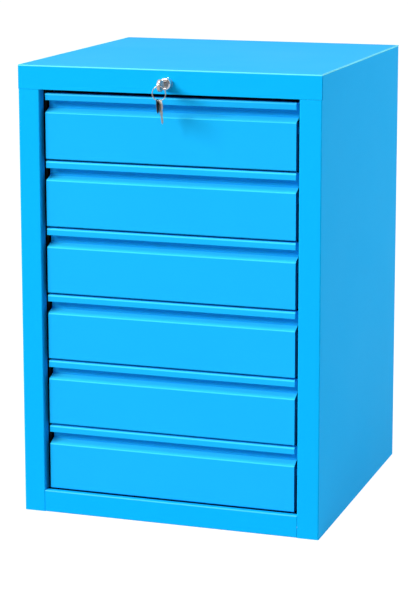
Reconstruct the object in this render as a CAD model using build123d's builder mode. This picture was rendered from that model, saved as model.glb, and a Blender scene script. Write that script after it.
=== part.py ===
from build123d import *
import math
import os

os.makedirs("parts", exist_ok=True)

# Six-drawer tool cabinet folded from sheet steel, with one lock in the top rail.
# Millimetres. The origin is the middle of the underside, the front faces -Y, up is +Z.

# The carcass
width = 500.0
depth = 500.0
height = 735.0
sheet = 1.0
fold = 2.0
stile = 35.6
top_rail = 38.5
bottom_rail = 36.5
rail_return = 11.0
stile_return = 18.0
rear_flange = 15.0
seam = 0.3
foot_inset = 50.0
foot_hole = 9.0
rib_wide = 60.0
rib_deep = 5.0
rivet_dia = 6.4

# The drawers
drawers = 6
top_gap = 6.5
gap = 3.0
bottom_gap = 2.5
side_gap = 7.0
recess = 8.0
front_depth = 18.0
slant_rise = 7.0
grip_mouth = 20.0
lip = 11.0
tray_lift = 6.0
tray_drop = 16.0
hem = 8.0
rear_space = 40.0

# The slides, as pairs of three-member telescopic runners, and the uprights behind them
slide_thick = 12.7
slide_tall = 45.7
slide_sheet = 1.2
ball_gap = 1.25
slide_play = 0.25
member_reach = 9.2
retainer_long = 90.0
retainer_inset = 60.0
screw_inset = 40.0
screw_head = 8.0
upright_sheet = 1.5
upright_deep = 30.0
upright_set = 25.0

# The lock and the bar that it drives
lock_drop = 22.0
head_dia = 19.5
head_out = 10.0
bevel = 3.0
barrel_dia = 16.0
barrel_long = 11.0
nut_thick = 3.0
plug_dia = 11.0
square = 6.0
cam_thick = 2.0
cam_dia = 13.0
pin_dia = 3.0
bar_sheet = 2.4
bar_wide = 22.0
bar_travel = 10.0
arm_wide = 12.0
finger_tall = 8.0
finger_drop = 9.0
finger_play = 1.5
stud_dia = 5.0
stud_head = 9.0
stud_rise = 15.0

# The key and its ring
bow_dia = 19.5
bow_thick = 5.5
bow_hole = 5.0
hole_set = 5.25
key_long = 43.0
key_wide = 7.8
key_thick = 2.0
neck_wide = 9.0
neck_thick = 3.2
key_out = 10.0
ring_dia = 22.0
wire = 1.7
ring_sides = 40

# Sizes that follow from those above
half = width / 2
front = -depth / 2
rear = depth / 2
open_half = half - stile
open_top = height - top_rail
pitch = (open_top - bottom_rail - top_gap - bottom_gap + gap) / drawers
front_tall = pitch - gap
front_half = open_half - side_gap
face = front + recess
front_back = face + front_depth
slot_rear = front_back - 2.8
bar_back = slot_rear - sheet
bar_front = bar_back - bar_sheet
tray_rear = rear - rear_space
upright_face = front + upright_set
slide_out = open_half - 2.7
tray_half = slide_out - slide_thick
tray_tall = front_tall - tray_lift - tray_drop
tuck = fold * 0.35
finger_level = front_tall - lip - grip_mouth - finger_tall - finger_drop
slide_level = finger_level - 2 * finger_play - slide_tall / 2
lock_z = height - lock_drop
pin_arm = bar_travel / math.sqrt(2)
screw_rows = (front_back + screw_inset, (front_back + tray_rear) / 2, tray_rear - screw_inset)


def drawer_bottom(n):
    """Level of the underside of drawer n, counted from the top."""
    return bottom_rail + bottom_gap + (drawers - n) * pitch


def folded(plane, points, side, thick=sheet, radius=fold):
    """Section of a sheet folded along the points, on the given side of them."""
    with BuildSketch(plane) as section:
        with BuildLine():
            FilletPolyline(*points, radius=radius)
            offset(amount=thick, side=side)
        make_face()
    return section.sketch


def box(x0, x1, y0, y1, z0, z1, mode=Mode.ADD):
    """A box between two corners, added to the part being built or cut from it."""
    with Locations(((x0 + x1) / 2, (y0 + y1) / 2, (z0 + z1) / 2)):
        Box(abs(x1 - x0), abs(y1 - y0), abs(z1 - z0), mode=mode)


def rod(axis_x, axis_z, back, ahead, radius, mode=Mode.ADD):
    """A round rod along Y between two planes, added to the part being built or cut from it."""
    with Locations(Location((axis_x, (back + ahead) / 2, axis_z), (90, 0, 0))):
        Cylinder(radius, abs(back - ahead), mode=mode)


# The top cover: one sheet with the top rail folded down in front and a flange behind.
with BuildPart() as top_cover:
    skirt = [(rear, height), (front, height), (front, open_top)]
    extrude(folded(Plane.YZ, skirt, Side.LEFT), amount=half, both=True)
    behind = [(0, height), (rear, height), (rear, height - rear_flange)]
    extrude(folded(Plane.YZ, behind, Side.RIGHT), amount=half - rear_flange - seam, both=True)
    under = [
        (front, open_top + 6 * sheet),
        (front, open_top),
        (front + rail_return, open_top),
        (front + rail_return, open_top + 7 * sheet),
    ]
    extrude(folded(Plane.YZ, under, Side.LEFT), amount=open_half, both=True)
    rod(0, lock_z, front - sheet, front + 2 * sheet, barrel_dia / 2 + 0.1, mode=Mode.SUBTRACT)
top_cover.part.label = "top_cover"
export_step(top_cover.part, "parts/top_cover.step")

# The side panels: each one sheet with the stile, its return and a rear flange folded in.
for hand, name in ((-1, "left_side_panel"), (1, "right_side_panel")):
    turn = Side.RIGHT if hand < 0 else Side.LEFT
    with BuildPart() as side_panel:
        plan = [
            (hand * open_half, front + stile_return),
            (hand * open_half, front),
            (hand * half, front),
            (hand * half, rear),
            (hand * (half - rear_flange), rear),
        ]
        extrude(folded(Plane.XY, plan, turn), amount=open_top - seam)
        upper = [(hand * half, front + 2 * fold), (hand * half, rear), (hand * (half - rear_flange), rear)]
        with BuildSketch(Plane.XY.offset(open_top - seam)):
            add(folded(Plane.XY, upper, turn))
        extrude(amount=height - sheet - open_top + seam)
        ends = (front + 2 * rear_flange, rear - 2 * rear_flange)
        box(hand * (half - rear_flange), hand * (half - sheet / 2), *ends, height - 2 * sheet, height - sheet)
    side_panel.part.label = name
    export_step(side_panel.part, f"parts/{name}.step")

# The base pan: the floor, with the bottom rail folded up in front and a flange behind.
with BuildPart() as base_pan:
    section = [
        (front + rail_return, bottom_rail - 7 * sheet),
        (front + rail_return, bottom_rail),
        (front, bottom_rail),
        (front, 0),
        (0, 0),
    ]
    extrude(folded(Plane.YZ, section, Side.LEFT), amount=open_half, both=True)
    behind = [(0, 0), (rear, 0), (rear, rear_flange)]
    extrude(folded(Plane.YZ, behind, Side.LEFT), amount=half - rear_flange - seam, both=True)
    box(-half + sheet, half - sheet, front + stile_return + seam, rear - sheet - fold / 2, 0, sheet)
    ends = (upright_face + upright_deep + rear_flange, tray_rear - upright_deep - rear_flange)
    for hand in (-1, 1):
        box(hand * (half - 2 * sheet), hand * (half - sheet), *ends, 0, rear_flange)
    with Locations(*[(x * (half - foot_inset), y * (rear - foot_inset), 0) for x in (-1, 1) for y in (-1, 1)]):
        Cylinder(foot_hole / 2, 4 * sheet, mode=Mode.SUBTRACT)
base_pan.part.label = "base_pan"
export_step(base_pan.part, "parts/base_pan.step")

# The back panel, inside the rear flanges, with two pressed ribs.
with BuildPart() as back_panel:
    back, trim = rear - sheet, 1.1 * fold
    box(-half + 2 * sheet, half - 2 * sheet, back - sheet, back, trim, height - trim)
    for x in (-width / 4, width / 4):
        low, high = height * 0.12, height * 0.88
        left, right = x - rib_wide / 2, x + rib_wide / 2
        box(left, right, back - rib_deep - sheet, back, low, high)
        hollow = (left + sheet, right - sheet, back - rib_deep, back + sheet, low + sheet, high - sheet)
        box(*hollow, mode=Mode.SUBTRACT)
back_panel.part.label = "back_panel"
export_step(back_panel.part, "parts/back_panel.step")

# The rivets that hold the back panel to the flanges around it.
with BuildPart() as back_rivets:
    spots = [(x * (half - rear_flange / 2), z * height) for x in (-1, 1) for z in (0.12, 0.37, 0.63, 0.88)]
    spots += [(x, z) for x in (-width / 4, 0, width / 4) for z in (rear_flange / 2, height - rear_flange / 2)]
    for x, z in spots:
        with BuildSketch(Plane.XZ.offset(-rear)):
            with Locations((x, z)):
                RegularPolygon(rivet_dia / 2, 6)
        extrude(amount=-sheet, taper=25)
back_rivets.part.label = "back_rivets"
export_step(back_rivets.part, "parts/back_rivets.step")

# The four uprights that carry the slides: channels that stand on the floor.
uprights = [
    ("left_front_upright", -1, upright_face),
    ("right_front_upright", 1, upright_face),
    ("left_rear_upright", -1, tray_rear + 5 - upright_deep),
    ("right_rear_upright", 1, tray_rear + 5 - upright_deep),
]
for name, hand, start in uprights:
    turn = Side.RIGHT if hand < 0 else Side.LEFT
    with BuildPart() as upright:
        plan = [
            (hand * (half - sheet), start + upright_deep),
            (hand * slide_out, start + upright_deep),
            (hand * slide_out, start),
            (hand * (half - sheet), start),
        ]
        with BuildSketch(Plane.XY.offset(sheet)):
            add(folded(Plane.XY, plan, turn, upright_sheet, 2.5))
        extrude(amount=height - 3 * sheet)
    upright.part.label = name
    export_step(upright.part, f"parts/{name}.step")

# The drawers, each a folded front, a tray, its screws and a pair of slides in three members.
for n in range(1, drawers + 1):
    base = drawer_bottom(n)
    top = base + front_tall
    grip = top - lip - grip_mouth
    level = base + slide_level
    floor = base + tray_lift

    # The front is one folded sheet: underside, face, slanted finger grip, the grip's back wall,
    # top flange and a lip that turns down over the grip. Side returns are slotted for the bar.
    with BuildPart() as drawer_front:
        section = [
            (front_back, base),
            (face, base),
            (face, grip),
            (front_back - sheet, grip + slant_rise),
            (front_back - sheet, top - sheet),
            (face + sheet, top - sheet),
            (face + sheet, top - lip),
        ]
        extrude(folded(Plane.YZ, section, Side.RIGHT), amount=front_half, both=True)
        for hand in (-1, 1):
            inner, outer = hand * (front_half - sheet), hand * front_half
            box(inner, outer, face + tuck, front_back, base + tuck, grip - sheet)
            low, high = base + finger_level - finger_play, base + finger_level + finger_tall + finger_play
            slot = (slot_rear - bar_sheet - 2 * sheet - finger_play / 4, slot_rear, low, high)
            box(hand * (front_half - 2 * sheet), hand * (front_half + sheet), *slot, mode=Mode.SUBTRACT)
    drawer_front.part.label = f"drawer_{n}_front"
    export_step(drawer_front.part, f"parts/drawer_{n}_front.step")

    # The tray: an open box with its side and rear walls hemmed inward along the top.
    rim = floor + tray_tall
    with BuildPart() as tray:
        box(-tray_half, tray_half, front_back, tray_rear, floor, rim)
        inside = (-tray_half + sheet, tray_half - sheet, front_back + sheet, tray_rear - sheet)
        box(*inside, floor + sheet, rim + sheet, mode=Mode.SUBTRACT)
        for hand in (-1, 1):
            wall, edge = hand * tray_half, hand * (tray_half - hem)
            box(edge, wall, front_back, tray_rear, rim - sheet, rim)
            box(edge, edge + hand * sheet, front_back, tray_rear, rim - hem / 2, rim)
        box(-tray_half, tray_half, tray_rear - hem, tray_rear, rim - sheet, rim)
    tray.part.label = f"drawer_{n}_tray"
    export_step(tray.part, f"parts/drawer_{n}_tray.step")

    # The heads of the screws that hold the inner slide members, inside the tray.
    with BuildPart() as screws:
        for hand in (-1, 1):
            for y in screw_rows:
                with BuildSketch(Plane.YZ.offset(hand * (tray_half - sheet))):
                    with Locations((y, level)):
                        RegularPolygon(screw_head / 2, 6)
                extrude(amount=-hand * screw_head / 5)
    screws.part.label = f"drawer_{n}_screws"
    export_step(screws.part, f"parts/drawer_{n}_screws.step")

    # The outer slide members: channels open to the drawer, against the uprights.
    shell = slide_tall / 2
    with BuildPart() as slides_outer:
        span = (front_back + 3 * sheet, tray_rear + 6)
        for hand in (-1, 1):
            wall, mouth = hand * slide_out, hand * (slide_out - member_reach)
            box(wall - hand * slide_sheet, wall, *span, level - shell, level + shell)
            for up in (-1, 1):
                box(mouth, wall, *span, level + up * (shell - slide_sheet), level + up * shell)
    slides_outer.part.label = f"drawer_{n}_slides_outer"
    export_step(slides_outer.part, f"parts/drawer_{n}_slides_outer.step")

    # The middle members, nested in the outer ones, with ball retainers above and below.
    mid = shell - slide_sheet - ball_gap
    core = mid - slide_sheet - 2.2
    with BuildPart() as slides_middle:
        span = (front_back + 4 * sheet, tray_rear + 2)
        retainer = (tray_rear - retainer_inset - retainer_long, tray_rear - retainer_inset)
        for hand in (-1, 1):
            wall, mouth = hand * (slide_out - 2.5), hand * (tray_half + 2.5)
            box(wall - hand * slide_sheet, wall, *span, level - mid, level + mid)
            for up in (-1, 1):
                box(mouth, wall, *span, level + up * (mid - slide_sheet), level + up * mid)
                track = (mouth + hand * 1.5, mouth + hand * 4.0, *retainer)
                box(*track, level + up * (core + slide_play), level + up * (shell - slide_sheet - slide_play))
    slides_middle.part.label = f"drawer_{n}_slides_middle"
    export_step(slides_middle.part, f"parts/drawer_{n}_slides_middle.step")

    # The inner members: channels screwed to the tray, open to the middle ones.
    with BuildPart() as slides_inner:
        span = (front_back + sheet, tray_rear)
        for hand in (-1, 1):
            wall, mouth = hand * tray_half, hand * (slide_out - 4.7)
            box(wall, wall + hand * slide_sheet, *span, level - core, level + core)
            for up in (-1, 1):
                box(wall, mouth, *span, level + up * (core - slide_sheet), level + up * core)
    slides_inner.part.label = f"drawer_{n}_slides_inner"
    export_step(slides_inner.part, f"parts/drawer_{n}_slides_inner.step")

# The lock housing: a bevelled head in front of the rail and a barrel through it.
nose = front - head_out
barrel_end = front + barrel_long
with BuildPart() as lock_housing:
    bore = lock_z + plug_dia / 2 + 0.15
    head, barrel = lock_z + head_dia / 2, lock_z + barrel_dia / 2
    outline = [
        (nose, bore),
        (nose, head - bevel),
        (nose + bevel, head),
        (front, head),
        (front, barrel),
        (barrel_end, barrel),
        (barrel_end, bore),
        (nose, bore),
    ]
    with BuildSketch(Plane.YZ):
        with BuildLine():
            Polyline(*outline)
        make_face()
    revolve(axis=Axis((0, 0, lock_z), (0, 1, 0)))
lock_housing.part.label = "lock_housing"
export_step(lock_housing.part, "parts/lock_housing.step")

# The nut that clamps the housing to the rail from behind.
with BuildPart() as lock_nut:
    with BuildSketch(Plane.XZ.offset(-(front + sheet))):
        with Locations((0, lock_z)):
            RegularPolygon(barrel_dia * 0.72, 6)
            Circle(barrel_dia / 2 + 0.05, mode=Mode.SUBTRACT)
    extrude(amount=-nut_thick)
lock_nut.part.label = "lock_nut"
export_step(lock_nut.part, "parts/lock_nut.step")

# The plug, with the keyway in its face and a square behind that the cam sits on.
plug_face = nose + 0.5
cam_front = barrel_end + 0.2
cam_back = cam_front + cam_thick
blade_tip = plug_face + key_long - bow_dia - key_out
with BuildPart() as lock_plug:
    rod(0, lock_z, plug_face, barrel_end, plug_dia / 2)
    box(-square / 2, square / 2, barrel_end, cam_back, lock_z - square / 2, lock_z + square / 2)
    slot_x, slot_z = key_thick / 2 + 0.2, key_wide / 2 + 0.3
    box(-slot_x, slot_x, nose, blade_tip + 1, lock_z - slot_z, lock_z + slot_z, mode=Mode.SUBTRACT)
    rod(0, lock_z, cam_back - 4, cam_back, pin_dia / 2, mode=Mode.SUBTRACT)
lock_plug.part.label = "lock_plug"
export_step(lock_plug.part, "parts/lock_plug.step")

# The cam, its arm at 45 degrees below the axis, with a pin that reaches into the bar.
pin_x, pin_z = bar_travel / 2, lock_z - bar_travel / 2
with BuildPart() as lock_cam:
    with BuildSketch(Plane.XZ.offset(-cam_front)):
        with Locations((0, lock_z)):
            Circle(cam_dia / 2)
        with Locations((pin_x, pin_z)):
            Circle(pin_dia)
        make_hull()
        with Locations((0, lock_z)):
            Rectangle(square + 0.1, square + 0.1, mode=Mode.SUBTRACT)
    extrude(amount=-cam_thick)
    rod(pin_x, pin_z, cam_back - sheet, bar_back + 0.8, pin_dia / 2)
lock_cam.part.label = "lock_cam"
export_step(lock_cam.part, "parts/lock_cam.step")

# The screw that holds the cam on the plug.
with BuildPart() as cam_screw:
    with BuildSketch(Plane.XZ.offset(-cam_back)):
        with Locations((0, lock_z)):
            RegularPolygon(pin_dia * 1.4, 6)
    extrude(amount=-1.4)
    rod(0, lock_z, cam_back - 4, cam_back, pin_dia / 2)
cam_screw.part.label = "cam_screw"
export_step(cam_screw.part, "parts/cam_screw.step")

# The locking bar: an arm behind the rail and an upright strip behind the right stile.
bar_left = slide_out - 2.5 + sheet + bar_travel
bar_right = bar_left + bar_wide
arm_high = lock_z - 0.5
arm_low = arm_high - arm_wide
stud_x = bar_left + stud_dia / 2 + 3.5
stud_levels = (drawer_bottom(drawers) + stud_rise, drawer_bottom(1) + stud_rise)
with BuildPart() as locking_bar:
    box(pin_x - arm_wide / 2, bar_right, bar_front, bar_back, arm_low, arm_high)
    box(bar_left, bar_right, bar_front, bar_back, stud_levels[0] - stud_head, arm_high)
    reach = pin_dia / 2 + 0.5
    slot = (bar_front - 1, bar_back + 1, lock_z - pin_arm - reach, pin_z + reach)
    box(pin_x - reach, pin_x + reach, *slot, mode=Mode.SUBTRACT)
    with BuildSketch(Plane.XZ.offset(-bar_front)):
        with Locations(*[(stud_x + bar_travel / 2, z) for z in stud_levels]):
            SlotOverall(bar_travel + stud_dia + 0.8, stud_dia + 0.6)
    extrude(amount=-bar_sheet, mode=Mode.SUBTRACT)
locking_bar.part.label = "locking_bar"
export_step(locking_bar.part, "parts/locking_bar.step")

# The fingers welded to the bar's edge, one for the slot in each drawer front's side return.
with BuildPart() as bar_fingers:
    for n in range(1, drawers + 1):
        low = drawer_bottom(n) + finger_level
        box(tray_half + 0.5 + bar_travel, bar_left, bar_front, bar_back, low, low + finger_tall)
bar_fingers.part.label = "bar_fingers"
export_step(bar_fingers.part, "parts/bar_fingers.step")

# The two shouldered studs that guide the bar on the right front upright.
with BuildPart() as bar_guides:
    for z in stud_levels:
        for back, ahead in ((upright_face, bar_back + 0.3), (bar_front - 0.4, bar_front - 2.0)):
            with BuildSketch(Plane.XZ.offset(-back)):
                with Locations((stud_x, z)):
                    RegularPolygon(stud_head / 2, 6)
            extrude(amount=back - ahead)
        rod(stud_x, z, bar_back + 0.3, bar_front - 0.4, stud_dia / 2)
bar_guides.part.label = "bar_guides"
export_step(bar_guides.part, "parts/bar_guides.step")

# The bracket under the top cover that carries the arm of the bar.
with BuildPart() as guide_bracket:
    ledge, plate, lip_face = arm_low - 0.3, bar_back + 0.9, bar_front - 0.8
    section = [
        (plate + rear_flange, height - sheet),
        (plate, height - sheet),
        (plate, ledge),
        (lip_face, ledge),
        (lip_face, ledge + arm_wide / 2),
    ]
    hanger = folded(Plane.YZ.offset(open_half / 3), section, Side.LEFT, 1.2, 1.3)
    extrude(hanger, amount=bar_travel, both=True)
guide_bracket.part.label = "guide_bracket"
export_step(guide_bracket.part, "parts/guide_bracket.step")

# The key, upright in its keyway: a round bow with a hole near its rim, a neck and a cut blade.
bow_y = plug_face - key_out - bow_dia / 2
flat = Plane(origin=(0, bow_y, lock_z), x_dir=(0, 1, 0), z_dir=(1, 0, 0))
with BuildPart() as key:
    with BuildSketch(flat):
        Circle(bow_dia / 2)
        with Locations((-hole_set, 0)):
            Circle(bow_hole / 2, mode=Mode.SUBTRACT)
    extrude(amount=bow_thick / 2, both=True)
    with BuildSketch(flat):
        with Locations((bow_dia / 2, 0)):
            Rectangle(neck_wide, neck_wide)
    extrude(amount=neck_thick / 2, both=True)
    start, tip, edge = bow_dia / 2 + neck_wide / 2 - sheet, key_long - bow_dia / 2, key_wide / 2
    notches = ((3, 2.6), (4.5, 0.8), (6.5, 2.0), (8.5, 0.4), (10.5, 1.4), (12, 0))
    cuts = [(tip - back, edge - deep) for back, deep in notches]
    with BuildSketch(flat):
        with BuildLine():
            Polyline((start, edge), (start, -edge), (tip - 3, -edge), (tip, -edge + 3), *cuts, (start, edge))
        make_face()
    extrude(amount=key_thick / 2, both=True)
key.part.label = "key"
export_step(key.part, "parts/key.step")

# The ring through the hole in the bow, hanging clear above the top drawer's path.
ring_y = bow_y - hole_set
ring_mean = (ring_dia - wire) / 2
ring_top = lock_z - bow_hole / 2 + wire / 2 + 0.75
with BuildPart() as key_ring:
    with BuildSketch(Plane.XZ.offset(-(ring_y - wire / 2))):
        with Locations((0, ring_top - ring_mean)):
            RegularPolygon(ring_mean + wire / 2, ring_sides)
            RegularPolygon(ring_mean - wire / 2, ring_sides, mode=Mode.SUBTRACT)
    extrude(amount=-wire)
key_ring.part.label = "key_ring"
export_step(key_ring.part, "parts/key_ring.step")
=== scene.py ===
import math

import bmesh
import bpy
from mathutils import Matrix, Vector


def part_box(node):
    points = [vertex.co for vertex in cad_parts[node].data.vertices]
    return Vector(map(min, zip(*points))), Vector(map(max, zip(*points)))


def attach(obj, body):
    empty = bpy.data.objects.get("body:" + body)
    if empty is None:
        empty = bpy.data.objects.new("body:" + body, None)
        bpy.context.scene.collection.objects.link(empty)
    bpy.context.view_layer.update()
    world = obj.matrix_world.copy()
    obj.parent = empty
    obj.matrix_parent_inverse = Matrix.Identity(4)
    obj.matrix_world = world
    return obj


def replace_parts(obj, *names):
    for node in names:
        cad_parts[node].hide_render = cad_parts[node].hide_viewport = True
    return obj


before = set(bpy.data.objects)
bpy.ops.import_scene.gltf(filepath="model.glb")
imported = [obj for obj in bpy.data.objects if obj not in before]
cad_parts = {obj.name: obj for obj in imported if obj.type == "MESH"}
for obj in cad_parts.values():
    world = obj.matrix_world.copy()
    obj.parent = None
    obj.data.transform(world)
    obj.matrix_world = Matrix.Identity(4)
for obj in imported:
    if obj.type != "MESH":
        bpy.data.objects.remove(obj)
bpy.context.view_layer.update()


# The carcass: top cover, side panels, base pan and back panel, folded from 1 mm mild steel sheet.
# They are spot welded, then sprayed with a bright blue polyester powder and baked, which leaves a
# smooth satin gloss with a faint orange peel.
MM = 0.001
# The inner corner of a grip along Y, and how far back and out a front's side returns reach.
grip_corner = -227.5 * MM
return_back, return_reach = -224.5 * MM, 212 * MM


def linear(hex_colour):
    """An sRGB hex colour as linear red, green, blue and an alpha of one."""
    shares = [int(hex_colour[i:i + 2], 16) / 255 for i in (1, 3, 5)]
    return (*[s / 12.92 if s <= 0.04045 else ((s + 0.055) / 1.055) ** 2.4 for s in shares], 1.0)


def new_material(name):
    """An empty node material and its tree."""
    material = bpy.data.materials.new(name)
    material.use_nodes = True
    material.node_tree.nodes.clear()
    return material, material.node_tree


def node(tree, kind, values=None, links=None, **settings):
    """Adds a node with its settings, the values of its sockets and the links into them.

    A colour mix takes its factor at socket 0 and its colours at 6 and 7, and gives 2.
    """
    new = tree.nodes.new(kind)
    for name, value in settings.items():
        setattr(new, name, value)
    for socket, value in (values or {}).items():
        new.inputs[socket].default_value = value
    for socket, source in (links or {}).items():
        tree.links.new(source, new.inputs[socket])
    return new


def finish_node(name, material):
    """Gives a CAD node its finish in place of the imported one."""
    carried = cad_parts[name].data
    carried.materials.clear()
    carried.materials.append(material)


def powder_coat_with_painted_light(name, colour, clouded, highlight_share, highlight_colour="#7CF0FF"):
    """Baked polyester powder: a saturated blue film whose gloss is broken by orange peel.

    On an upturned fold at the front, highlight_share is how far the colour goes towards
    highlight_colour, a painted highlight; the narrow side returns of drawer fronts get painted shade.
    """
    material, tree = new_material(name)
    place = node(tree, "ShaderNodeTexCoord").outputs["Object"]
    # Film thickness drifts over some 160 mm, which clouds the colour very slightly.
    drift = node(
        tree, "ShaderNodeTexNoise", {"Scale": 1 / (160 * MM), "Detail": 2.0}, {"Vector": place}
    )
    tint = node(
        tree, "ShaderNodeMix", {6: linear(colour), 7: linear(clouded)},
        {0: drift.outputs["Fac"]}, data_type="RGBA",
    )
    # Orange peel is 1 to 2 mm wide; 5 mm waves are the finest that the render can show.
    peel = node(
        tree, "ShaderNodeTexNoise", {"Scale": 1 / (5 * MM), "Detail": 1.0}, {"Vector": place}
    )
    gloss = node(
        tree, "ShaderNodeMapRange", {"To Min": 0.38, "To Max": 0.46},
        {"Value": drift.outputs["Fac"]},
    )
    # Where a fold at the front turns upward its gloss is raised and its colour is lightened to a pale
    # line, a painted highlight; the grip's slant, which faces mostly upward, is lightened nearly as
    # much. Upright and level faces have none, nor has the inner corner of a grip.
    normal = node(tree, "ShaderNodeNewGeometry").outputs["Normal"]
    facing = node(tree, "ShaderNodeSeparateXYZ", links={0: normal})
    spot = node(tree, "ShaderNodeSeparateXYZ", links={0: place})
    tipped = node(
        tree, "ShaderNodeMath", {0: 1.0}, {1: facing.outputs["Z"]}, operation="SUBTRACT"
    )
    turned_up = node(
        tree, "ShaderNodeMath", links={0: facing.outputs["Z"], 1: tipped.outputs[0]},
        operation="MULTIPLY",
    )
    fore = node(
        tree, "ShaderNodeMath", {1: grip_corner}, {0: spot.outputs["Y"]}, operation="LESS_THAN"
    )
    fold_highlight_mask = node(
        tree, "ShaderNodeMath", links={0: turned_up.outputs[0], 1: fore.outputs[0]},
        operation="MULTIPLY",
    )
    shine = node(
        tree, "ShaderNodeMapRange",
        {"From Min": 0.14, "From Max": 0.24, "To Min": 0.0185, "To Max": 0.15},
        {"Value": fold_highlight_mask.outputs[0]},
    )
    painted_highlight = node(
        tree, "ShaderNodeMapRange",
        {"From Min": 0.0, "From Max": 0.08, "To Min": 0.0, "To Max": highlight_share},
        {"Value": fold_highlight_mask.outputs[0]},
    )
    highlighted_tint = node(
        tree, "ShaderNodeMix", {7: linear(highlight_colour)}, {0: painted_highlight.outputs[0], 6: tint.outputs[2]},
        data_type="RGBA",
    )
    # The narrow side returns of the drawer fronts, seen in the side gaps, are darkened to near black:
    # painted shade.
    askew = node(tree, "ShaderNodeMath", links={0: facing.outputs["X"]}, operation="ABSOLUTE")
    sideways = node(
        tree, "ShaderNodeMath", {1: 0.9}, {0: askew.outputs[0]}, operation="GREATER_THAN"
    )
    off_middle = node(tree, "ShaderNodeMath", links={0: spot.outputs["X"]}, operation="ABSOLUTE")
    inward = node(
        tree, "ShaderNodeMath", {1: return_reach}, {0: off_middle.outputs[0]},
        operation="LESS_THAN",
    )
    ahead = node(
        tree, "ShaderNodeMath", {1: return_back}, {0: spot.outputs["Y"]}, operation="LESS_THAN"
    )
    inner_side = node(
        tree, "ShaderNodeMath", links={0: sideways.outputs[0], 1: inward.outputs[0]},
        operation="MULTIPLY",
    )
    side_return = node(
        tree, "ShaderNodeMath", links={0: inner_side.outputs[0], 1: ahead.outputs[0]},
        operation="MULTIPLY",
    )
    painted_gap_shade = node(
        tree, "ShaderNodeMath", {1: 0.75}, {0: side_return.outputs[0]}, operation="MULTIPLY"
    )
    coat_with_painted_light = node(
        tree, "ShaderNodeMix", {7: linear("#0A1C2C")}, {0: painted_gap_shade.outputs[0], 6: highlighted_tint.outputs[2]},
        data_type="RGBA",
    )
    relief = node(
        tree, "ShaderNodeBump", {"Strength": 0.06, "Distance": 0.05 * MM},
        {"Height": peel.outputs["Fac"]},
    )
    film = node(
        tree, "ShaderNodeBsdfPrincipled", None,
        {
            "Base Color": coat_with_painted_light.outputs[2], "Roughness": gloss.outputs[0],
            "Normal": relief.outputs[0], "Specular IOR Level": shine.outputs[0],
        },
    )
    node(tree, "ShaderNodeOutputMaterial", links={"Surface": film.outputs[0]})
    return material


# The top cover's copy carries a stronger painted highlight on its front fold than the rest of the
# carcass.
finish_node("top_cover", powder_coat_with_painted_light("top_powder_coat", "#0BB7FC", "#0AB3F9", 0.55))
carcass_coat = powder_coat_with_painted_light("carcass_powder_coat", "#0BB7FC", "#0AB3F9", 0.2)
for panel in ("left_side_panel", "right_side_panel", "base_pan", "back_panel"):
    finish_node(panel, carcass_coat)


# The welds along the top's side edges, ground round. Each is a slim rod laid into the corner, which
# stands 0.3 mm proud; its pale cyan, much lighter than the carcass blue, is a painted highlight along
# the edge.
def turned(profile, steps, at, along):
    """Rings of a profile of (distance along the axis, radius) pairs, turned about an axis."""
    shape = bmesh.new()
    turn = Vector((0, 0, 1)).rotation_difference(Vector(along)).to_matrix().to_4x4()
    turn = Matrix.Translation(Vector(at)) @ turn
    rings = []
    for reach, radius in profile:
        if radius == 0:
            rings.append([shape.verts.new(turn @ Vector((0, 0, reach)))])
            continue
        ring = []
        for i in range(steps):
            angle = 2 * math.pi * i / steps
            point = Vector((radius * math.cos(angle), radius * math.sin(angle), reach))
            ring.append(shape.verts.new(turn @ point))
        rings.append(ring)
    for near, far in zip(rings, rings[1:]):
        for i in range(steps):
            j = (i + 1) % steps
            corners = [near[i % len(near)], near[j % len(near)], far[j % len(far)], far[i % len(far)]]
            shape.faces.new(list(dict.fromkeys(corners)))
    return shape


def piece(name, shapes, material, body, sharp=35):
    """One object from bmesh shapes, shaded smooth up to a crease of that many degrees."""
    mesh = bpy.data.meshes.new(name)
    whole = bmesh.new()
    for shape in shapes:
        part = bpy.data.meshes.new(name + "_part")
        shape.to_mesh(part)
        shape.free()
        whole.from_mesh(part)
        bpy.data.meshes.remove(part)
    bmesh.ops.recalc_face_normals(whole, faces=whole.faces)
    for face in whole.faces:
        face.smooth = True
    for edge in whole.edges:
        if len(edge.link_faces) == 2 and edge.calc_face_angle(0) > math.radians(sharp):
            edge.smooth = False
    whole.to_mesh(mesh)
    whole.free()
    mesh.materials.append(material)
    made = bpy.data.objects.new(name, mesh)
    bpy.context.scene.collection.objects.link(made)
    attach(made, body)
    return made


weld_painted_highlight = powder_coat_with_painted_light("ground_weld_painted_highlight", "#8CF2FF", "#84EEFC", 0.0)
weld_radius, weld_long = 1.3 * MM, 494 * MM
weld_x, weld_front, weld_z = 249 * MM, -247.5 * MM, 734 * MM
weld_bead = [(0, 0), (0, weld_radius), (weld_long, weld_radius), (weld_long, 0)]
welds = [
    turned(weld_bead, 16, (hand * weld_x, weld_front, weld_z), (0, 1, 0)) for hand in (-1, 1)
]
piece("top_edge_welds", welds, weld_painted_highlight, "cabinet")


# The rivets that close the back panel: domed heads of plated steel, blind riveted from behind.
# Each head is a shallow dome over a thin brim, with the dimple that the broken mandrel leaves.
fixings, tree = new_material("plated_steel_fixings")
place = node(tree, "ShaderNodeTexCoord").outputs["Object"]
grain = node(tree, "ShaderNodeTexNoise", {"Scale": 1 / (2 * MM), "Detail": 3.0}, {"Vector": place})
# Barrel plating leaves small dull nicks, about 2 mm apart.
bright = node(
    tree, "ShaderNodeMix", {6: linear("#A9ACAF"), 7: linear("#CFD1D2")},
    {0: grain.outputs["Fac"]}, data_type="RGBA",
)
nicked = node(
    tree, "ShaderNodeMapRange", {"To Min": 0.22, "To Max": 0.42}, {"Value": grain.outputs["Fac"]}
)
plated = node(
    tree, "ShaderNodeBsdfPrincipled", {"Metallic": 1.0},
    {"Base Color": bright.outputs[2], "Roughness": nicked.outputs[0]},
)
node(tree, "ShaderNodeOutputMaterial", links={"Surface": plated.outputs[0]})

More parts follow.
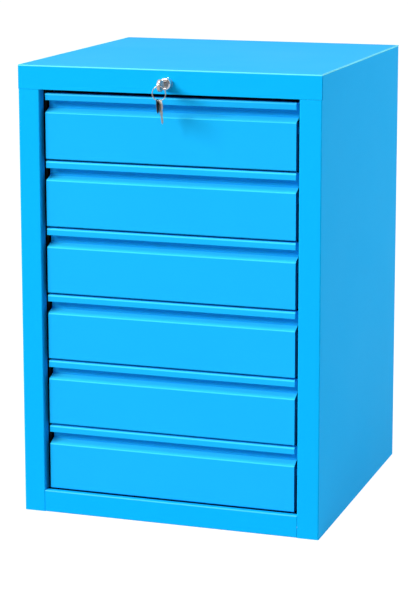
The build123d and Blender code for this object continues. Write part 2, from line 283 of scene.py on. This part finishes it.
half_width, rear_face, height = 250 * MM, 250 * MM, 735 * MM
flange_middle = 7.5 * MM
rivet_column = half_width - flange_middle
rivet_spots = [(x * rivet_column, z * height) for x in (-1, 1) for z in (0.12, 0.37, 0.63, 0.88)]
rivet_spots += [(x * MM, z) for x in (-125, 0, 125) for z in (flange_middle, height - flange_middle)]
rivet_head = [
    (0, 0), (0, 3.2), (0.25, 3.2), (0.6, 2.7), (0.9, 1.9), (1.0, 1.1), (0.85, 0.7), (0.5, 0.55),
    (0.5, 0),
]
rivet_head = [(reach * MM, radius * MM) for reach, radius in rivet_head]
rivets = [turned(rivet_head, 24, (x, rear_face, z), (0, 1, 0)) for x, z in rivet_spots]
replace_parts(piece("rivet_heads", rivets, fixings, "cabinet"), "back_rivets")


# The four uprights: steel channels finished near black, a painted shade that stands in for the shade in
# the side gaps.
# Brushing leaves faint upright streaks in the gloss.
upright_shade_black, tree = new_material("upright_painted_shade_black")
place = node(tree, "ShaderNodeTexCoord").outputs["Object"]
# The streaks stand some 3 mm apart and run for 60 mm up the channel.
drawn = node(tree, "ShaderNodeMapping", {"Scale": (1, 1, 0.05)}, {"Vector": place})
brushed = node(
    tree, "ShaderNodeTexNoise", {"Scale": 1 / (3 * MM), "Detail": 2.0},
    {"Vector": drawn.outputs[0]},
)
shade_black_tone = node(
    tree, "ShaderNodeMix", {6: linear("#07080B"), 7: linear("#0C0D11")},
    {0: brushed.outputs["Fac"]}, data_type="RGBA",
)
sheen = node(
    tree, "ShaderNodeMapRange", {"To Min": 0.45, "To Max": 0.6}, {"Value": brushed.outputs["Fac"]}
)
black = node(
    tree, "ShaderNodeBsdfPrincipled", {"Specular IOR Level": 0.2},
    {"Base Color": shade_black_tone.outputs[2], "Roughness": sheen.outputs[0]},
)
node(tree, "ShaderNodeOutputMaterial", links={"Surface": black.outputs[0]})
for upright in ("left_front_upright", "right_front_upright", "left_rear_upright", "right_rear_upright"):
    finish_node(upright, upright_shade_black)


# The telescopic slides, three members to each side of a drawer: roll-formed steel strip, bright
# zinc plated. Plating on cold rolled strip is silvery, with a faint cloud and fine lines along it.
zinc, tree = new_material("bright_zinc_plate")
place = node(tree, "ShaderNodeTexCoord").outputs["Object"]
cloud = node(tree, "ShaderNodeTexNoise", {"Scale": 1 / (24 * MM), "Detail": 3.0}, {"Vector": place})
# Rolling lines stand 0.3 mm apart. They are drawn 1.2 mm apart, which is as fine as shows, and
# run for some 60 mm along Y, the way that the strip is rolled.
stretch = node(tree, "ShaderNodeMapping", {"Scale": (1, 0.02, 1)}, {"Vector": place})
lines = node(
    tree, "ShaderNodeTexNoise", {"Scale": 1 / (1.2 * MM), "Detail": 2.0},
    {"Vector": stretch.outputs[0]},
)
silver = node(
    tree, "ShaderNodeMix", {6: linear("#C2C6CA"), 7: linear("#D8DBDD")},
    {0: cloud.outputs["Fac"]}, data_type="RGBA",
)
dull = node(
    tree, "ShaderNodeMapRange", {"To Min": 0.28, "To Max": 0.46}, {"Value": lines.outputs["Fac"]}
)
scored = node(
    tree, "ShaderNodeBump", {"Strength": 0.15, "Distance": 0.02 * MM},
    {"Height": lines.outputs["Fac"]},
)
plating = node(
    tree, "ShaderNodeBsdfPrincipled", {"Metallic": 1.0},
    {
        "Base Color": silver.outputs[2], "Roughness": dull.outputs[0],
        "Normal": scored.outputs[0],
    },
)
node(tree, "ShaderNodeOutputMaterial", links={"Surface": plating.outputs[0]})
for number in range(1, 7):
    for member in ("outer", "middle", "inner"):
        finish_node(f"drawer_{number}_slides_{member}", zinc)


# The six drawers: folded fronts and trays in the carcass's powder coat, a touch lighter: painted light,
# as their faces catch a little more light.
# The slides' inner members are held to each tray by six pan head screws with a cross recess.
drawer_coat = powder_coat_with_painted_light("drawer_powder_coat", "#1BB8FB", "#18B4F9", 0.45, "#40E6FF")
front_back, tray_rear, tray_wall = -224 * MM, 210 * MM, 198 * MM
screw_rows = (front_back + 40 * MM, (front_back + tray_rear) / 2, tray_rear - 40 * MM)
screw_head = [(0, 0), (0, 4.0), (0.7, 4.0), (1.15, 3.6), (1.45, 2.7), (1.6, 1.5), (1.6, 0)]
screw_head = [(reach * MM, radius * MM) for reach, radius in screw_head]
recess_thick, recess_wide, recess_long = 0.1 * MM, 0.9 * MM, 3.8 * MM
recess_x = tray_wall - 1.58 * MM
for number in range(1, 7):
    for sheet_part in ("front", "tray"):
        finish_node(f"drawer_{number}_{sheet_part}", drawer_coat)
    low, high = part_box(f"drawer_{number}_screws")
    level = (low.z + high.z) / 2
    heads = []
    for hand in (-1, 1):
        for y in screw_rows:
            head = turned(screw_head, 20, (hand * tray_wall, y, level), (-hand, 0, 0))
            # The cross recess is a dark cross let into the crown.
            for wide, tall in ((recess_wide, recess_long), (recess_long, recess_wide)):
                bar = bmesh.ops.create_cube(head, size=1.0)["verts"]
                bmesh.ops.scale(head, vec=(recess_thick, wide, tall), verts=bar)
                bmesh.ops.translate(head, vec=(hand * recess_x, y, level), verts=bar)
            heads.append(head)
    screws = piece(
        f"drawer_{number}_screw_heads", heads, fixings, f"drawer_{number}"
    )
    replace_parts(screws, f"drawer_{number}_screws")


# The central locking behind the rail and the right stile: a zinc plated bar with six fingers,
# a hook that carries its arm and two shouldered studs, turned from steel, that guide it.
for lock_part in ("locking_bar", "bar_fingers", "guide_bracket", "lock_cam"):
    finish_node(lock_part, zinc)
for fixing in ("lock_nut", "cam_screw"):
    finish_node(fixing, fixings)
low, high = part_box("bar_guides")
stud_x = (low.x + high.x) / 2
upright_face, bar_back, bar_front = -225 * MM, -227.8 * MM, -230.2 * MM
stud_head, stud_neck, stud_chamfer = 4.5 * MM, 2.5 * MM, 0.6 * MM
neck_start = upright_face - bar_back - 0.3 * MM
neck_end = upright_face - bar_front + 0.4 * MM
cap_edge, cap_end = neck_end + 1.2 * MM, neck_end + 1.6 * MM
stud_profile = [
    (0, 0), (0, stud_head), (neck_start, stud_head), (neck_start, stud_neck),
    (neck_end, stud_neck), (neck_end, stud_head), (cap_edge, stud_head),
    (cap_end, stud_head - stud_chamfer), (cap_end, 0),
]
studs = [
    turned(stud_profile, 28, (stud_x, upright_face, z), (0, -1, 0))
    for z in (low.z + stud_head, high.z - stud_head)
]
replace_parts(piece("guide_studs", studs, fixings, "cabinet"), "bar_guides")


# The cam lock in the middle of the top rail: a die-cast zinc housing with a domed head, polished
# and chromed, and a plug with a keyway. Chrome shows the room, bright and dark in hard patches.
chrome, tree = new_material("polished_chrome")
place = node(tree, "ShaderNodeTexCoord").outputs["Object"]
# Finger marks some 4 mm wide dull the polish a little.
smear = node(tree, "ShaderNodeTexNoise", {"Scale": 1 / (4 * MM), "Detail": 4.0}, {"Vector": place})
polish = node(
    tree, "ShaderNodeMapRange", {"To Min": 0.05, "To Max": 0.14}, {"Value": smear.outputs["Fac"]}
)
blued = node(
    tree, "ShaderNodeMix", {6: linear("#DCDDE2"), 7: linear("#EDEBEA")},
    {0: smear.outputs["Fac"]}, data_type="RGBA",
)
mirror = node(
    tree, "ShaderNodeBsdfPrincipled", {"Metallic": 1.0},
    {"Base Color": blued.outputs[2], "Roughness": polish.outputs[0]},
)
node(tree, "ShaderNodeOutputMaterial", links={"Surface": mirror.outputs[0]})
finish_node("lock_plug", chrome)

rail_face = -250 * MM
low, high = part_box("lock_housing")
lock_z = (low.z + high.z) / 2
# These sizes and the profile are in millimetres, with reaches counted forward from the rail.
bore, head_radius, head_out, dome, barrel_radius, barrel_long = 5.65, 9.75, 10.0, 3, 8.0, 11.0
housing = [
    (head_out - 1.0, bore), (head_out - 0.3, bore + 0.15), (head_out, bore + 0.6),
    (head_out, head_radius - 3.1),
]
for step in range(1, 9):
    angle = math.radians(90 * step / 8)
    across = head_radius - dome + dome * math.sin(angle)
    housing.append((head_out - dome * (1 - math.cos(angle)), across))
housing += [
    (1.2, head_radius), (0.9, head_radius - 0.25), (0.6, head_radius), (0, head_radius),
    (0, barrel_radius),
]
# Eight turns of thread, cut as grooves, for the nut that clamps the rail.
for groove in range(8):
    back = -1.2 - groove * 1.2
    housing += [(back, barrel_radius), (back - 0.5, barrel_radius - 0.5), (back - 1.0, barrel_radius)]
housing += [(-barrel_long, barrel_radius - 0.4), (-barrel_long, bore), (head_out - 1.0, bore)]
housing = [(reach * MM, radius * MM) for reach, radius in housing]
head = turned(housing, 72, (0, rail_face, lock_z), (0, -1, 0))
bmesh.ops.remove_doubles(head, verts=head.verts, dist=0.001 * MM)
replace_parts(piece("lock_head", [head], chrome, "cabinet"), "lock_housing")


# The key in the lock: a nickel silver blank, stamped and milled, with a round bow that has a
# raised rim and a hole, a shoulder, and a blade that is grooved along its sides.
nickel, tree = new_material("nickel_silver")
place = node(tree, "ShaderNodeTexCoord").outputs["Object"]
# Handling leaves warmer and cooler patches about 3 mm wide.
handled = node(
    tree, "ShaderNodeTexNoise", {"Scale": 1 / (3 * MM), "Detail": 4.0}, {"Vector": place}
)
warm = node(
    tree, "ShaderNodeMix", {6: linear("#B9AFA8"), 7: linear("#DAD2CC")},
    {0: handled.outputs["Fac"]}, data_type="RGBA",
)
# Pocket scratches: fine streaks drawn 0.4 mm apart, as fine as a close view can show.
slanted = node(
    tree, "ShaderNodeMapping", {"Scale": (1, 0.15, 1), "Rotation": (0.6, 0.3, 0)},
    {"Vector": place},
)
scratch = node(
    tree, "ShaderNodeTexNoise", {"Scale": 1 / (0.4 * MM), "Detail": 1.0},
    {"Vector": slanted.outputs[0]},
)
rubbed = node(
    tree, "ShaderNodeMapRange", {"To Min": 0.2, "To Max": 0.4}, {"Value": scratch.outputs["Fac"]}
)
grazed = node(
    tree, "ShaderNodeBump", {"Strength": 0.2, "Distance": 0.01 * MM},
    {"Height": scratch.outputs["Fac"]},
)
alloy = node(
    tree, "ShaderNodeBsdfPrincipled", {"Metallic": 0.8},
    {
        "Base Color": warm.outputs[2], "Roughness": rubbed.outputs[0],
        "Normal": grazed.outputs[0],
    },
)
node(tree, "ShaderNodeOutputMaterial", links={"Surface": alloy.outputs[0]})


def plate(outlines, thick, bevel, turn):
    """A flat plate from closed outlines in millimetres, with rounded edges, placed by a matrix."""
    flat = bpy.data.curves.new("outline", "CURVE")
    flat.dimensions = "2D"
    flat.fill_mode = "BOTH"
    flat.extrude = (thick / 2 - bevel) * MM
    flat.bevel_depth = bevel * MM
    flat.bevel_resolution = 2
    flat.offset = -bevel * MM
    for outline in outlines:
        run = flat.splines.new("POLY")
        run.points.add(len(outline) - 1)
        for point, (x, y) in zip(run.points, outline):
            point.co = (x * MM, y * MM, 0, 1)
        run.use_cyclic_u = True
    holder = bpy.data.objects.new("outline", flat)
    mesh = bpy.data.meshes.new_from_object(holder)
    shape = bmesh.new()
    shape.from_mesh(mesh)
    bmesh.ops.transform(shape, matrix=turn, verts=shape.verts)
    bpy.data.meshes.remove(mesh)
    bpy.data.objects.remove(holder)
    bpy.data.curves.remove(flat)
    return shape


def circle(x, y, radius, steps=40):
    """A closed circle of points."""
    angles = [2 * math.pi * i / steps for i in range(steps)]
    return [(x + radius * math.cos(angle), y + radius * math.sin(angle)) for angle in angles]


hole_set = 5.25


def key_shapes(turn, long, bow_thick, notches):
    """The bow, its rim, the shoulder and the grooved blade of a key whose x runs to the tip."""
    bow, hole, edge = 9.75, 2.5, 3.9
    web = plate([circle(0, 0, bow - 0.8), circle(-hole_set, 0, hole)], bow_thick - 1.2, 0.3, turn)
    rim_circles = [circle(0, 0, bow), circle(0, 0, bow - bow_thick / 2)]
    rim = plate(rim_circles, bow_thick, bow_thick * 0.24, turn)
    eye_circles = [circle(-hole_set, 0, hole + 1.2, 24), circle(-hole_set, 0, hole, 24)]
    eye = plate(eye_circles, bow_thick - 0.6, 0.3, turn)
    shoulder = [
        (bow - 1.5, 4.5), (bow - 1.5, -4.5), (bow + 3.4, -4.5), (bow + 4.2, -edge),
        (bow + 4.2, edge), (bow + 3.4, 4.5),
    ]
    tip = long - bow
    root = bow + 3.5
    cuts = [(tip - back, edge - deep) for back, deep in notches]
    blade = [(root, edge), (root, -edge), (tip - 3, -edge), (tip, -edge + 3), *cuts]
    shapes = [web, rim, eye, plate([shoulder], 3.2, 0.3, turn), plate([blade], 1.2, 0.1, turn)]
    # The milled grooves leave two ribs along each side of the blade.
    for low_side, high_side in ((-edge + 0.2, -1.9), (-1.0, 0.6)):
        rib = [(root, low_side), (tip - 3.2, low_side), (tip - 1.6, high_side), (root, high_side)]
        shapes.append(plate([rib], 2.0, 0.1, turn))
    return shapes


plug_face = -259.5 * MM
bow_y = plug_face - 19.75 * MM
notches = ((3, 2.6), (4.5, 0.8), (6.5, 2.0), (8.5, 0.4), (10.5, 1.4), (12, 0))
# In the lock the key lies along Y with its plate upright.
in_lock = Matrix(((0, 0, 1, 0), (1, 0, 0, bow_y), (0, 1, 0, lock_z), (0, 0, 0, 1)))
lock_key = key_shapes(in_lock, 43, 5.5, notches)
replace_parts(piece("cut_key", lock_key, nickel, "key"), "key")


# The split ring through the bow: two close turns of spring steel wire, nickel plated.
# The wire steps over from one turn to the next, where the ring is prised open.
def swept(points, radius, sides=10):
    """A round wire along open points, as mesh data."""
    shape = bmesh.new()
    rings = []
    for i, point in enumerate(points):
        ahead = (points[min(i + 1, len(points) - 1)] - points[max(i - 1, 0)]).normalized()
        across = Vector((0, 1, 0))
        up = ahead.cross(across).normalized()
        ring = []
        for k in range(sides):
            angle = 2 * math.pi * k / sides
            out = radius * (math.cos(angle) * across + math.sin(angle) * up)
            ring.append(shape.verts.new(point + out))
        rings.append(ring)
    for near, far in zip(rings, rings[1:]):
        for k in range(sides):
            j = (k + 1) % sides
            shape.faces.new((near[k], near[j], far[j], far[k]))
    shape.faces.new(rings[0])
    shape.faces.new(rings[-1])
    return shape


low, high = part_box("key_ring")
wire = 0.6 * MM
ring_radius = 11.6 * MM - wire
ring_middle = (low + high) / 2
ring_middle.z = high.z - wire - ring_radius
turns, per_turn, start_angle = 2, 72, 0.6
coil = []
for i in range(turns * per_turn + 1):
    angle = 2 * math.pi * i / per_turn + start_angle
    # The step takes a sixth of the ring.
    share = min(max((i - per_turn * 11 / 12) / (per_turn / 6), 0), 1)
    shift = (share * share * (3 - 2 * share) - 0.5) * 2 * wire
    out = Vector((ring_radius * math.sin(angle), shift, ring_radius * math.cos(angle)))
    coil.append(ring_middle + out)
ring = piece("split_ring", [swept(coil, wire)], nickel, "key_ring", 60)
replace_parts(ring, "key_ring")


# The spare key: a flatter nickel silver blank of the same cut, which hangs from the ring by its
# hole. It leans a little to the right and turns its face partly to the left.
ring_bottom = ring_middle.z - ring_radius
# A hanging plate's own x points down.
downward = Matrix(((0, 0, 1, 0), (0, 1, 0, 0), (-1, 0, 0, 0), (0, 0, 0, 1)))
spare_at = Matrix.Translation((1.5 * MM, ring_middle.y, ring_bottom + wire - 2.5 * MM))
spare_lean = Matrix.Rotation(math.radians(-6), 4, "Y")
spare_turn = Matrix.Rotation(math.radians(38), 4, "Z")
by_its_hole = Matrix.Translation((hole_set * MM, 0, 0))
hang = spare_at @ spare_lean @ spare_turn @ downward @ by_its_hole
piece("spare_key", key_shapes(hang, 39, 2.4, notches), nickel, "key_ring")


# The plain tag that hangs beside the spare key, edge on to the front: steel strip, punched, rounded at
# its corners and coloured a dark uneven grey.
dark_tag_finish, tree = new_material("dark_grey_tag_steel")
place = node(tree, "ShaderNodeTexCoord").outputs["Object"]
# The grey is lighter in patches about 2 mm wide.
tag_patches = node(tree, "ShaderNodeTexNoise", {"Scale": 1 / (2 * MM), "Detail": 3.0}, {"Vector": place})
dark = node(
    tree, "ShaderNodeMix", {6: linear("#20262C"), 7: linear("#4A4F52")},
    {0: tag_patches.outputs["Fac"]}, data_type="RGBA",
)
tag_surface = node(
    tree, "ShaderNodeBsdfPrincipled", {"Metallic": 0.4, "Roughness": 0.45},
    {"Base Color": dark.outputs[2]},
)
node(tree, "ShaderNodeOutputMaterial", links={"Surface": tag_surface.outputs[0]})
tag_outline = [
    (-3, -3), (-1.5, -4.2), (15, -4.2), (19, -1), (19, 1), (15, 4.2), (-1.5, 4.2), (-3, 3)
]
tag_at = Matrix.Translation((-2.9 * MM, ring_middle.y, ring_bottom + 1.5 * wire - 1.6 * MM))
tag_lean = Matrix.Rotation(math.radians(-3), 4, "Y")
tag = plate([tag_outline, circle(0, 0, 1.6, 20)], 1.2, 0.25, tag_at @ tag_lean @ downward)
piece("key_tag", [tag], dark_tag_finish, "key_ring")


# The studio: a pale floor that keeps the cabinet's soft shadow, a white room around it that is
# dimmer on the camera's side, a wide soft lamp in front on the left, and two small ones, overhead
# and on the right.
paper, tree = new_material("studio_floor")
place = node(tree, "ShaderNodeTexCoord").outputs["Object"]
# The paper's fibres cloud it over some 25 mm.
fibre = node(tree, "ShaderNodeTexNoise", {"Scale": 1 / (25 * MM), "Detail": 2.0}, {"Vector": place})
pale = node(
    tree, "ShaderNodeMix", {6: linear("#B8B8B8"), 7: linear("#BEBEBE")},
    {0: fibre.outputs["Fac"]}, data_type="RGBA",
)
matt = node(tree, "ShaderNodeBsdfDiffuse", links={"Color": pale.outputs[2]})
# The camera, and to a lesser degree metal, sees the floor as bright as the white room.
rays = node(tree, "ShaderNodeLightPath")
glow = node(
    tree, "ShaderNodeMapRange", {"To Min": 0.75, "To Max": 1.2},
    {"Value": rays.outputs["Is Camera Ray"]},
)
lit = node(tree, "ShaderNodeEmission", {"Color": (1, 1, 1, 1)}, {"Strength": glow.outputs[0]})
shown = node(
    tree, "ShaderNodeMath",
    links={0: rays.outputs["Is Camera Ray"], 1: rays.outputs["Is Glossy Ray"]},
    operation="MAXIMUM",
)
seen = node(
    tree, "ShaderNodeMath", links={0: shown.outputs[0], 1: rays.outputs["Is Transmission Ray"]},
    operation="MAXIMUM",
)
veil = node(
    tree, "ShaderNodeMapRange", {"To Min": 0.0, "To Max": 0.85}, {"Value": seen.outputs[0]}
)
mixed = node(
    tree, "ShaderNodeMixShader", links={0: veil.outputs[0], 1: matt.outputs[0], 2: lit.outputs[0]}
)
node(tree, "ShaderNodeOutputMaterial", links={"Surface": mixed.outputs[0]})

ground = bmesh.new()
bmesh.ops.create_grid(ground, x_segments=1, y_segments=1, size=12)
ground_mesh = bpy.data.meshes.new("floor")
ground.to_mesh(ground_mesh)
ground.free()
ground_mesh.materials.append(paper)
floor = bpy.data.objects.new("floor", ground_mesh)
bpy.context.scene.collection.objects.link(floor)

world = bpy.data.worlds.new("studio")
bpy.context.scene.world = world
world.use_nodes = True
room = world.node_tree
room.nodes.clear()
direction = node(room, "ShaderNodeTexCoord").outputs["Generated"]
toward = node(room, "ShaderNodeSeparateXYZ", links={0: direction})
# The room behind the cabinet is white paper, and the side that the camera stands on is dimmer.
fade = node(
    room, "ShaderNodeMapRange",
    {"From Min": -0.75, "From Max": 0.1, "To Min": 0.2, "To Max": 0.72},
    {"Value": toward.outputs["Y"]},
)
room_rays = node(room, "ShaderNodeLightPath")
mirrored = node(
    room, "ShaderNodeMath",
    links={0: room_rays.outputs["Is Glossy Ray"], 1: room_rays.outputs["Is Transmission Ray"]},
    operation="MAXIMUM",
)
# A mix of numbers takes its factor at socket 0 and the numbers at 2 and 3.
dim = node(
    room, "ShaderNodeMix", {2: 0.09}, {0: mirrored.outputs[0], 3: fade.outputs[0]},
    data_type="FLOAT",
)
strength = node(
    room, "ShaderNodeMix", {3: 1.0},
    {0: room_rays.outputs["Is Camera Ray"], 2: dim.outputs[0]}, data_type="FLOAT",
)
air = node(
    room, "ShaderNodeBackground", {"Color": (1, 1, 1, 1)}, {"Strength": strength.outputs[0]}
)
node(room, "ShaderNodeOutputWorld", links={"Surface": air.outputs[0]})


def soft_lamp(name, at, aim, wide, tall, watts):
    """A soft box, wide and tall in metres, that looks at a point."""
    light = bpy.data.lights.new(name, "AREA")
    light.energy = watts
    light.shape = "RECTANGLE"
    light.size = wide
    light.size_y = tall
    lamp = bpy.data.objects.new(name, light)
    lamp.location = at
    lamp.rotation_euler = (Vector(aim) - Vector(at)).to_track_quat("-Z", "Y").to_euler()
    bpy.context.scene.collection.objects.link(lamp)


middle = (0, -0.1, 0.4)
soft_lamp("key_softbox", (-8.3, -9.3, 7.0), middle, 9.0, 3.0, 2090)
soft_lamp("overhead_softbox", (-0.3, -1.1, 4.7), middle, 2.0, 2.0, 112)
soft_lamp("side_softbox", (3.2, 0.9, 0.8), middle, 1.4, 1.4, 58)


# The camera stands a little to the right and above, at the place and lens that the photograph's
# edges give, with the small shift that its framing needs.
picture_tall, eye_row, focal_pixels = 612, 220, 2080.5
sight = bpy.data.cameras.new("camera")
sight.sensor_width = 36.0
sight.lens = focal_pixels * sight.sensor_width / picture_tall
sight.shift_y = (eye_row - picture_tall / 2) / picture_tall
yaw, pitch, roll = 0.324, 0.1784, -0.0016
aim = Matrix.Rotation(yaw, 4, "Z") @ Matrix.Rotation(math.pi / 2 - pitch, 4, "X")
aim = aim @ Matrix.Rotation(roll, 4, "Z")
camera = bpy.data.objects.new("camera", sight)
camera.matrix_world = Matrix.Translation((1.0772, -3.2756, 1.0772)) @ aim
bpy.context.scene.collection.objects.link(camera)
bpy.context.scene.camera = camera
bpy.context.scene.view_settings.view_transform = "Standard"
